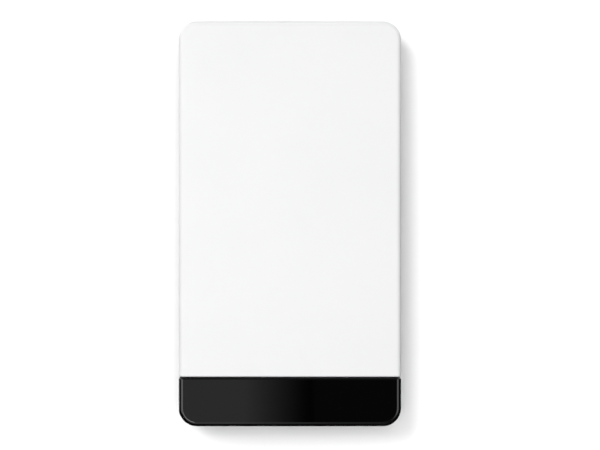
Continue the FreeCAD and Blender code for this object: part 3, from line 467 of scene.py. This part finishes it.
def membrane(graph, look):
    fibre = graph.noise(graph.place(), look["fibres"], 5, 0.75)
    return {"Base Color": graph.mix(fibre, look["dark"], look["pale"]),
            "Roughness": look["roughness"],
            "Normal": graph.bump(fibre, look["fibreDepth"], 0.8)}


for recipe, looks in ((whitePlastic, whitePlastics), (glossPlastic, glossPlastics),
                      (mouldedPlastic, mouldedPlastics), (rubber, rubbers), (metal, metals),
                      (boardMask, boardMasks), (resin, resins), (smallPart, smallParts), (clear, clears),
                      (woven, cloths), (pressedPaper, cones), (foil, foils), (membrane, membranes)):
    makeFinishes(recipe, looks)

# which finish each node of the frame wears
wears = {
    "front_cover": "whiteShell", "call_bar": "blackGloss", "rear_housing": "housingBlack",
    "wall_plate": "plateBlack", "front_frame": "frameBlack", "housing_gasket": "siliconeGrey",
    "frame_screws": "zincSteel", "board_screws": "zincSteel", "security_screw": "stainless",
    "vent_membrane": "ventMembrane", "terminal_block": "nylonBlack", "terminal_pins": "brass",
    "terminal_clamps": "brass", "terminal_screws": "nickel", "main_board": "greenMask",
    "camera_board": "greenMask", "protection_board": "greenMask", "antenna_board": "greenMask",
    "processor_shield": "tinPlate", "processor": "chipBlack", "board_parts": "boardParts",
    "status_leds": "ledClear", "light_guide": "ringDiffuser", "light_sensor": "irTint",
    "ir_leds": "irTint", "image_sensor": "sensorGlass", "camera_holder": "nylonBlack",
    "lens_barrel": "nylonBlack", "lens_elements": "clearGlass", "front_lens": "clearGlass",
    "camera_hood": "siliconeBlack", "camera_ribbon": "amberFlex", "microphone": "tinPlate",
    "microphone_boot": "siliconeBlack", "speaker_basket": "nylonBlack", "speaker_magnet": "zincSteel",
    "speaker_cone": "coneBlack", "speaker_gasket": "foamBlack", "speaker_mesh": "meshCloth",
    "cover_sockets": "siliconeGrey", "battery_contacts": "gold", "call_switch": "nylonBlack",
    "call_switch_dome": "stainless", "setup_switch": "nylonBlack", "setup_switch_dome": "stainless",
    "bar_pads": "siliconeGrey", "call_plunger": "acetalWhite", "setup_button": "acetalOrange",
    "pack_tray": "packBlack", "pack_lid": "packBlack", "pack_contacts": "gold",
    "battery_cell": "foilPouch", "pack_end_cap": "packBlack", "pack_seal": "siliconeOrange",
}

for name, piece in nodes.items():
    for materialSlot in piece.material_slots:
        materialSlot.material = made[wears[name]]
print("finishes: %d on %d pieces" % (len(made), len(wears)))


def meshPiece(name, points, faces, body, slot, smooth=False, edge=0.0):
    # slot names a node of the frame, and the piece wears the finish of the node with that name
    mesh = bpy.data.meshes.new(name)
    mesh.from_pydata([tuple(point) for point in points], [], faces)
    mesh.polygons.foreach_set("use_smooth", [smooth] * len(mesh.polygons))
    mesh.update()
    mesh.materials.append(made[wears[slot]])
    piece = bpy.data.objects.new(name, mesh)
    bpy.context.scene.collection.objects.link(piece)
    if edge:
        bevel = piece.modifiers.new("softEdge", "BEVEL")
        bevel.width = edge
        bevel.segments = 2
    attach(piece, body)
    return piece


def weave(name, centre, up, reach, gauge, body, slot, across, disc=False):
    # two sets of square wires that pass over and under each other, in the plane of across and up
    out = across.cross(up)
    pitch, wire = gauge["pitch"], gauge["wire"]
    halfAcross, halfUp = reach
    points, faces = [], []
    for along, side, half, width, lift in ((across, up, halfAcross, halfUp, 1),
                                           (up, across, halfUp, halfAcross, -1)):
        count = int((width - wire) // pitch)
        for line in range(-count, count + 1):
            offset = line * pitch
            end = math.sqrt(half ** 2 - offset ** 2) if disc else half
            rings = max(2, int(2 * end / pitch * gauge["steps"]))
            first = len(points)
            for step in range(rings + 1):
                at = -end + 2 * end * step / rings
                sway = lift * gauge["sway"] * math.cos(math.pi * at / pitch + math.pi * (line % 2))
                for a, b in ((1, 1), (-1, 1), (-1, -1), (1, -1)):
                    points.append(centre + along * at + side * (offset + a * wire) + out * (sway + b * wire))
            for step in range(rings):
                base = first + 4 * step
                for i in range(4):
                    j = (i + 1) % 4
                    faces.append((base + i, base + j, base + 4 + j, base + 4 + i))
    return meshPiece(name, points, faces, body, slot, smooth=True)


def ribs(name, runs, look, inward, body, slot):
    # moulded ribs with sloping sides and ends: each run is a start and an end on the surface
    sunk, proud, slope = 0.3 * look["height"], -look["height"], (look["foot"] - look["top"]) / 2
    profile = ((-look["foot"], sunk, 0), (look["foot"], sunk, 0), (look["top"], proud, slope),
               (-look["top"], proud, slope))
    box = ((3, 2, 1, 0), (4, 5, 6, 7), (0, 1, 5, 4), (1, 2, 6, 5), (2, 3, 7, 6), (3, 0, 4, 7))
    points, faces = [], []
    for start, end in runs:
        along = (end - start).normalized()
        side = along.cross(inward)
        first = len(points)
        for spot, pull in ((start, 1), (end, -1)):
            for width, rise, back in profile:
                points.append(spot + side * width / 2 + inward * rise + along * pull * back)
        faces += [tuple(first + i for i in corners) for corners in box]
    return meshPiece(name, points, faces, body, slot, edge=look["edge"])


# the cloth over the speaker, and its hoop
cloth = {"pitch": 0.62 * mm, "wire": 0.085 * mm, "sway": 0.055 * mm, "steps": 4, "hoop": 0.5 * mm,
         "hoopSides": 96}


def buildCloth():
    low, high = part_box("speaker_mesh")
    centre = (low + high) / 2
    reach = (high.x - low.x) / 2 - 0.6 * cloth["hoop"]
    strands = weave("speakerCloth", centre, upward, (reach, reach), cloth, "housing", "speaker_mesh", right,
                    disc=True)
    half, deep = cloth["hoop"] / 2, (high.y - low.y) / 2
    points, faces, sides = [], [], cloth["hoopSides"]
    for i in range(sides):
        turn = 2 * math.pi * i / sides
        ray = right * math.cos(turn) + upward * math.sin(turn)
        for a, b in ((-1, 1), (1, 1), (1, -1), (-1, -1)):
            points.append(centre + ray * (reach + a * half) + outward * b * deep)
        after = 4 * ((i + 1) % sides)
        faces += [(4 * i + k, 4 * i + (k + 1) % 4, after + (k + 1) % 4, after + k) for k in range(4)]
    hoop = meshPiece("speakerClothHoop", points, faces, "housing", "speaker_basket")
    for piece in (strands, hoop):
        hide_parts("speaker_mesh")


# gauze behind the sound slots, on the inside of the cover's side walls
gauze = {"pitch": 0.34 * mm, "wire": 0.05 * mm, "sway": 0.03 * mm, "steps": 4, "height": 44 * mm,
         "fromAxis": 33.06 * mm, "fromWall": 24.1 * mm, "halfWidth": 0.98 * mm, "halfHeight": 10.6 * mm}


def buildGauze():
    reach = (gauze["halfWidth"], gauze["halfHeight"])
    for name, side in (("slotGauzeLeft", -1), ("slotGauzeRight", 1)):
        centre = Vector((side * gauze["fromAxis"], -gauze["fromWall"], gauze["height"]))
        weave(name, centre, upward, reach, gauze, "cover", "speaker_mesh", outward)


# stiffening ribs on the face of the front frame, broken round everything that stands there
frameRibs = {"pitch": 8.6 * mm, "foot": 0.9 * mm, "top": 0.55 * mm, "height": 0.28 * mm, "edge": 0.04 * mm,
             "step": 0.25 * mm, "shortest": 1.5 * mm,
             "side": 30.6 * mm, "low": -44.5 * mm, "high": 60.6 * mm,
             "keptClear": {"speaker_gasket": 1.0 * mm, "cover_sockets": 1.0 * mm, "setup_button": 1.2 * mm,
                           "speaker_mesh": 1.4 * mm}}


def islands(node):
    # centre and reach of each separate solid in a node, seen from the front
    mesh = nodes[node].data
    parent = list(range(len(mesh.vertices)))

    def root(i):
        while parent[i] != i:
            parent[i] = parent[parent[i]]
            i = parent[i]
        return i

    spots = {}
    for vertex in mesh.vertices:
        key = tuple(round(v, 7) for v in vertex.co)
        parent[vertex.index] = spots.setdefault(key, vertex.index)
    for link in mesh.edges:
        parent[root(link.vertices[0])] = root(link.vertices[1])
    groups = {}
    for vertex in mesh.vertices:
        groups.setdefault(root(vertex.index), []).append(vertex.co)
    found = []
    for group in groups.values():
        xs, zs = [v.x for v in group], [v.z for v in group]
        centre = Vector(((min(xs) + max(xs)) / 2, 0, (min(zs) + max(zs)) / 2))
        found.append((centre, (max(xs) - min(xs)) / 2))
    return found


def openStretches(start, end, isClear):
    # the stretches between start and end that are clear, but for the ones too short for a rib
    stretches, opened = [], None
    steps = int((end - start) / frameRibs["step"])
    for step in range(steps + 2):
        at = start + frameRibs["step"] * step
        clearHere = step <= steps and isClear(at)
        if clearHere and opened is None:
            opened = at
        if not clearHere and opened is not None:
            if at - opened > frameRibs["shortest"]:
                stretches.append((opened, at))
            opened = None
    return stretches


def buildFrameRibs():
    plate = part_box("front_frame")[0].y
    kept = [(centre, reach + margin) for node, margin in frameRibs["keptClear"].items()
            for centre, reach in islands(node)]
    acrossFace, upFace = (-frameRibs["side"], frameRibs["side"]), (frameRibs["low"], frameRibs["high"])
    runs = []
    for level, (start, end), (first, last) in ((True, acrossFace, upFace), (False, upFace, acrossFace)):
        lines = int((last - first) // frameRibs["pitch"])
        for line in range(lines + 1):
            offset = first + (last - first) * line / lines

            def spot(at):
                return (at, offset) if level else (offset, at)

            def isClear(at):
                x, z = spot(at)
                return all(math.hypot(x - centre.x, z - centre.z) > reach for centre, reach in kept)

            for stretch in openStretches(start, end, isClear):
                runs.append([Vector((x, plate, z)) for x, z in map(spot, stretch)])
    ribs("frameStiffeners", runs, frameRibs, -outward, "housing", "front_frame")
    print("frame ribs: %d" % len(runs))


# a raised frame and insertion chevrons on the battery pack's lid
lidMarks = {"foot": 0.7 * mm, "top": 0.5 * mm, "height": 0.12 * mm, "edge": 0.02 * mm, "inset": 5 * mm,
            "topInset": 16 * mm, "chevrons": 3, "chevronPitch": 4 * mm, "chevronWidth": 9 * mm,
            "chevronRise": 4.5 * mm, "chevronDrop": 22 * mm}

# runners down the pack's back
runners = {"foot": 0.7 * mm, "top": 0.5 * mm, "height": 0.12 * mm, "edge": 0.02 * mm, "pitch": 13 * mm,
           "lowInset": 5 * mm, "highInset": 2 * mm}

# grip ribs on the roof of the finger scoop in the pack's end cap
grips = {"foot": 0.8 * mm, "top": 0.32 * mm, "height": 0.35 * mm, "edge": 0.04 * mm, "count": 9,
         "pitch": 1.5 * mm, "scoopDepth": 0.8 * mm, "inset": 2.5 * mm}


def buildPackMarks():
    low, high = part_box("pack_lid")
    centre = (low.x + high.x) / 2
    left, far = low.x + lidMarks["inset"], high.x - lidMarks["inset"]
    foot, head = low.z + lidMarks["inset"], high.z - lidMarks["topInset"]

    def spot(x, z):
        return Vector((x, low.y, z))

    runs = [(spot(left, foot), spot(far, foot)), (spot(left, head), spot(far, head)),
            (spot(left, foot), spot(left, head)), (spot(far, foot), spot(far, head))]
    for i in range(lidMarks["chevrons"]):
        z = head - lidMarks["chevronDrop"] + i * lidMarks["chevronPitch"]
        peak = spot(centre, z + lidMarks["chevronRise"])
        for side in (-1, 1):
            runs.append((spot(centre + side * lidMarks["chevronWidth"] / 2, z), peak))
    ribs("packLidMarks", runs, lidMarks, -outward, "battery_pack", "pack_lid")


def buildPackRunners():
    low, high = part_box("pack_lid")
    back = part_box("pack_tray")[1].y
    foot, head = low.z + runners["lowInset"], high.z - runners["highInset"]
    runs = [(Vector((side * runners["pitch"], back, foot)), Vector((side * runners["pitch"], back, head)))
            for side in (-1, 0, 1)]
    ribs("packRunners", runs, runners, outward, "battery_pack", "pack_tray")


def buildPackGrips():
    low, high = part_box("pack_end_cap")
    roof = low.z + grips["scoopDepth"]
    centre, half = (high.y + low.y) / 2, (high.y - low.y) / 2 - grips["inset"]
    runs = []
    for i in range(grips["count"]):
        x = (i - (grips["count"] - 1) / 2) * grips["pitch"]
        runs.append((Vector((x, centre - half, roof)), Vector((x, centre + half, roof))))
    ribs("packGrips", runs, grips, upward, "battery_pack", "pack_end_cap")


# the pin in the middle of the security screw's recess
securityPin = {"radius": 0.42 * mm, "height": 0.75 * mm, "foot": 1.05 * mm, "sides": 32}


def buildSecurityPin():
    low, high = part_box("security_screw")
    base = Vector(((low.x + high.x) / 2, (low.y + high.y) / 2, low.z + securityPin["foot"]))
    axis = -upward
    across = axis.orthogonal().normalized()
    other = axis.cross(across)
    radius, height, sides = securityPin["radius"], securityPin["height"], securityPin["sides"]
    outline = [(radius, 0), (radius, 0.8 * height), (0.8 * radius, 0.95 * height), (0.45 * radius, height)]
    points, faces = [], []
    for reach, rise in outline:
        for i in range(sides):
            turn = 2 * math.pi * i / sides
            ray = across * math.cos(turn) + other * math.sin(turn)
            points.append(base + axis * rise + ray * reach)
    for ring in range(len(outline) - 1):
        for i in range(sides):
            near, j = ring * sides, (i + 1) % sides
            faces.append((near + i, near + j, near + sides + j, near + sides + i))
    faces.append(tuple(range(sides))[::-1])
    faces.append(tuple((len(outline) - 1) * sides + i for i in range(sides)))
    meshPiece("securityPin", points, faces, "housing", "security_screw", smooth=True)


buildCloth()
buildGauze()
buildFrameRibs()
buildPackMarks()
buildPackRunners()
buildPackGrips()
buildSecurityPin()
print("fine pieces: cloth, gauze, frame ribs, pack marks, runners, grips and security pin")


def flatPiece(name, corners, material):
    mesh = bpy.data.meshes.new(name)
    mesh.from_pydata(corners, [], [tuple(range(len(corners)))])
    mesh.update()
    mesh.materials.append(material)
    piece = bpy.data.objects.new(name, mesh)
    bpy.context.scene.collection.objects.link(piece)
    return piece


# the wall and the floor: drop is how far the floor lies below the doorbell
room = {"wallTone": 0.97, "floorTone": 0.8, "floorGlow": 0.35, "drop": 0.32, "reach": 4.0, "gap": 0.05 * mm}


def oneWayPaint(name, tone, glow=0.0):
    # plain paint from the room's side, and clear from behind, so that the doorbell shows from any side
    material = bpy.data.materials.new(name)
    graph = Graph(material)
    grain = graph.noise(graph.place(), 300, 4)
    paint = graph.add("BsdfPrincipled", {}, {
        "Base Color": graph.mix(grain, (tone, tone, tone), shaded((tone, tone, tone), 0.985)),
        "Roughness": 1.0, "Specular IOR Level": 0.0, "Emission Color": (1, 1, 1, 1),
        "Emission Strength": glow})
    seeThrough = graph.add("BsdfTransparent")
    behind = graph.add("NewGeometry")["Backfacing"]
    both = graph.add("MixShader", {}, {0: behind, 1: paint, 2: seeThrough})
    graph.add("OutputMaterial", {}, {"Surface": both})
    return material


def buildRoom():
    reach = room["reach"]
    foot = cadLow.z - room["drop"]
    back = cadHigh.y + room["gap"]
    wallPaint = oneWayPaint("studioWall", room["wallTone"])
    wallCorners = [(-reach, back, foot), (reach, back, foot), (reach, back, reach), (-reach, back, reach)]
    wall = flatPiece("studioWallPlane", wallCorners, wallPaint)
    floorPaint = oneWayPaint("studioFloor", room["floorTone"], room["floorGlow"])
    floorCorners = [(x * reach, y * reach, foot) for x, y in ((-1, -1), (1, -1), (1, 1), (-1, 1))]
    floor = flatPiece("studioFloorPlane", floorCorners, floorPaint)
    wall.visible_shadow = wall.visible_transmission = False
    for piece in (wall, floor):
        piece.visible_diffuse = piece.visible_glossy = False


# glowing cards that show only in gloss. Each one's left, right, low and high edge, how far it stands from
# the wall and its strength, then where along X it starts and ends to fade, and to what share
cards = {
    "softCard": (-0.60, 0.013, -0.26, -0.02, 1.0, 0.56, -0.038, 0.0125, 0.0),
    "leftStrip": (-1.25, -0.27, -0.45, 0.5, 1.2, 3.3, 0, 0, 1),
    "rightStrip": (0.27, 1.25, -0.45, 0.5, 1.2, 2.1, 0, 0, 1),
    "footStrip": (-0.6, 0.26, -1.2, -0.33, 1.2, 1.0, -0.06, 0.05, 0.35),
    "headStrip": (-0.4, 0.4, 0.3, 0.9, 1.2, 0.3, 0, 0, 1),
    "faceGlow": (-0.5, -0.105, -0.36, 0.1, 0.98, 9.0, -0.12, -0.5, 0.0),
}
fadeCurve = 1.5


def glow(name, strength, fadeStart, fadeEnd, least):
    material = bpy.data.materials.new(name)
    graph = Graph(material)
    colour = (*white, 1.0)
    if fadeStart != fadeEnd:
        x = graph.axes(graph.place())[0]
        gone = graph.add("MapRange", {}, {"Value": x, "From Min": fadeStart, "From Max": fadeEnd})
        colour = graph.mix(least + (1 - least) * (1 - gone) ** fadeCurve, black, white)
    light = graph.add("Emission", {}, {"Color": colour, "Strength": strength})
    graph.add("OutputMaterial", {}, {"Surface": light})
    return material


def buildCards():
    for name, (left, far, low, high, away, *light) in cards.items():
        corners = [(left, -away, low), (far, -away, low), (far, -away, high), (left, -away, high)]
        card = flatPiece(name, corners, glow(name + "Glow", *light))
        card.visible_camera = card.visible_diffuse = card.visible_shadow = card.visible_transmission = False


# the key light is a disc: left and up are degrees off the straight view
key = {"away": 1.6, "left": 12.6, "up": 12.8, "size": 0.3, "power": 8.2}

# the softboxes: where each one stands, its width and height, its power, and whether gloss shows it
softboxes = {
    "frontFill": ((0.0, -1.5, 0.0), 0.5, 0.5, 13.4, False),
    "topSoftbox": ((0.0, -0.25, 1.1), 0.9, 0.4, 3.9, False),
    "leftSoftbox": ((-1.0, -0.22, 0.6), 0.6, 0.4, 5.0, True),
    "rightSoftbox": ((1.0, -0.3, 0.7), 0.6, 0.4, 0.5, True),
    "backSoftbox": ((0.5, 1.2, 0.5), 0.9, 0.9, 8.0, True),
    "backFill": ((-0.9, 1.0, 0.1), 0.7, 0.7, 4.0, True),
}


def lamp(name, where, shape, width, height, power, inGloss):
    data = bpy.data.lights.new(name, "AREA")
    data.shape = shape
    data.size = width
    data.size_y = height
    data.energy = power
    light = bpy.data.objects.new(name, data)
    light.location = where
    light.rotation_euler = (middle - Vector(where)).to_track_quat("-Z", "Y").to_euler()
    bpy.context.scene.collection.objects.link(light)
    light.visible_glossy = inGloss
    light.visible_camera = False


def buildLights():
    away, size = key["away"], key["size"]
    where = (middle.x - away * math.tan(math.radians(key["left"])), -away,
             middle.z + away * math.tan(math.radians(key["up"])))
    lamp("keyLight", where, "DISK", size, size, key["power"], False)
    for name, (spot, width, height, power, inGloss) in softboxes.items():
        lamp(name, spot, "RECTANGLE", width, height, power, inGloss)


# the air: how bright it is to matt surfaces, to gloss, in gloss at the upper corners, and to the camera
air = {"matt": 0.3, "gloss": 0.03, "corners": 0.8, "seen": 0.93}


def buildAir():
    world = bpy.data.worlds.new("studioAir")
    bpy.context.scene.world = world
    graph = Graph(world)
    x, y, z = graph.axes(graph.add("TexCoord")["Generated"])
    corner = abs(x).ramp(0.1, 0.5) * z.ramp(0.2, 0.5)
    path = graph.add("LightPath")
    isCamera, isGloss = path["Is Camera Ray"], path["Is Glossy Ray"]
    strength = air["matt"] * (1 - isGloss) + (air["gloss"] + air["corners"] * corner) * isGloss
    strength = strength * (1 - isCamera) + air["seen"] * isCamera
    background = graph.add("Background", {}, {"Color": graph.mix(strength, black, white)})
    graph.add("OutputWorld", {}, {"Surface": background})


# the camera looks straight at the wall: share is how much of the frame's width the doorbell takes
view = {"lens": 135, "sensor": 36, "share": 0.371167, "right": 3.19 * mm, "up": -0.35 * mm, "farthest": 20}


def buildCamera():
    frameWidth = (cadHigh.x - cadLow.x) / view["share"]
    away = frameWidth * view["lens"] / view["sensor"]
    data = bpy.data.cameras.new("camera")
    data.lens = view["lens"]
    data.sensor_width = view["sensor"]
    data.clip_end = view["farthest"]
    camera = bpy.data.objects.new("camera", data)
    camera.location = (middle.x + view["right"], cadLow.y - away, middle.z + view["up"])
    camera.rotation_euler = (math.radians(90), 0, 0)
    bpy.context.scene.collection.objects.link(camera)
    bpy.context.scene.camera = camera
    bpy.context.scene.view_settings.view_transform = "Standard"
    bpy.context.scene.view_settings.look = "None"


buildRoom()
buildCards()
buildLights()
buildAir()
buildCamera()
print("stage: wall, floor, %d cards, %d lamps and camera" % (len(cards), len(softboxes) + 1))
